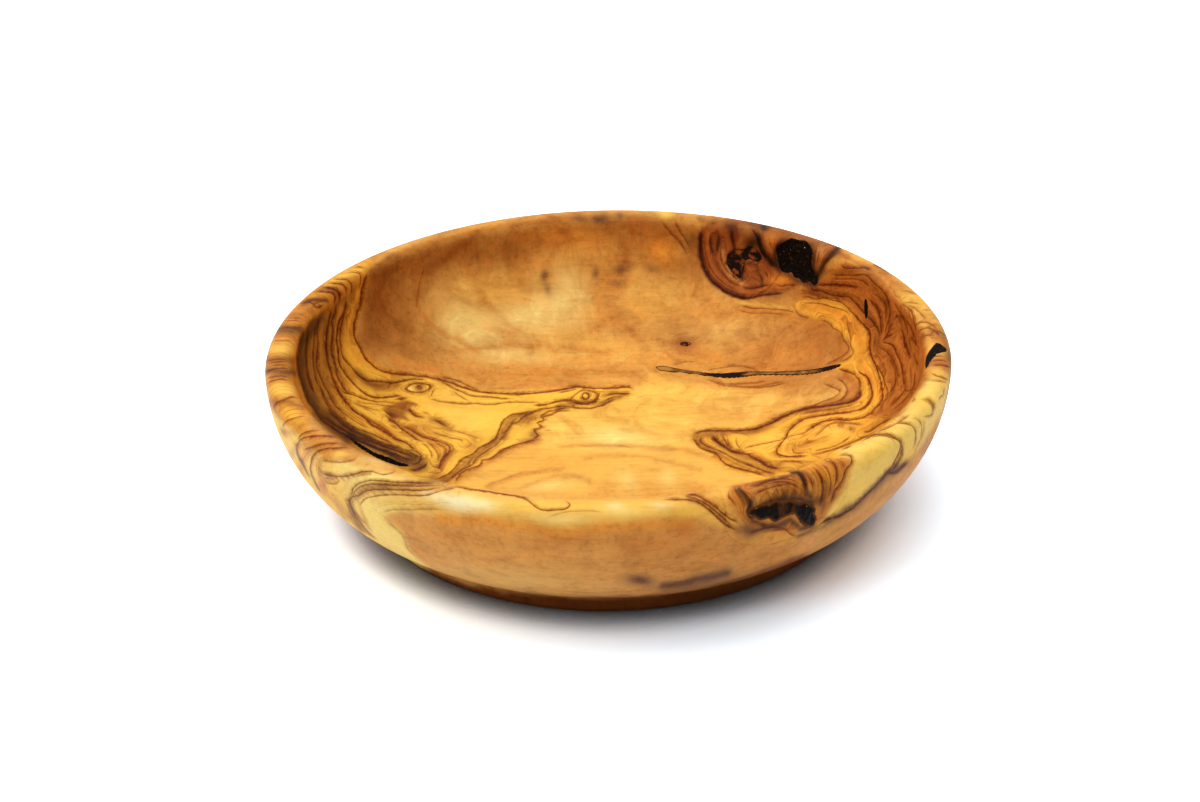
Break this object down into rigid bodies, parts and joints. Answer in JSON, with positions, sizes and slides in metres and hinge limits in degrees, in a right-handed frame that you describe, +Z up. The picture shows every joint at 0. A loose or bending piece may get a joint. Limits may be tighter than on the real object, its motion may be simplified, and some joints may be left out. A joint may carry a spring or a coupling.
{
  "type": "olive-wood dish",
  "caption": "Shallow round serving dish turned from one block of olive wood, with a thick rounded rim, a low foot, and dead knots, bark pockets and fillers set flush in it.",
  "frame": {"origin": "centre of the foot's underside", "axes": "+Z up along the turning axis, -Y towards the viewer of the picture, +X to that viewer's right"},
  "size_m": [0.2, 0.2, 0.0479],
  "materials": {
    "olive_wood": "oiled, satin",
    "knot_wood": "oiled, satin",
    "decayed_wood": "oiled, satin",
    "bark": "rough, half filled",
    "dark_filler": "polished resin",
    "grey_filler": "polished resin and wood dust"
  },
  "bodies": {
    "root": {"dish_body": "olive_wood", "front_rim_knot": "knot_wood", "front_knot_fill": "dark_filler", "back_wall_knot": "knot_wood", "back_knot_heart": "decayed_wood", "back_bark_pocket": "bark", "right_rim_pocket": "bark", "right_wall_slot": "bark", "floor_crack_fill": "grey_filler", "left_floor_pocket": "bark", "floor_pin_knot": "decayed_wood"}
  },
  "joints": []
}
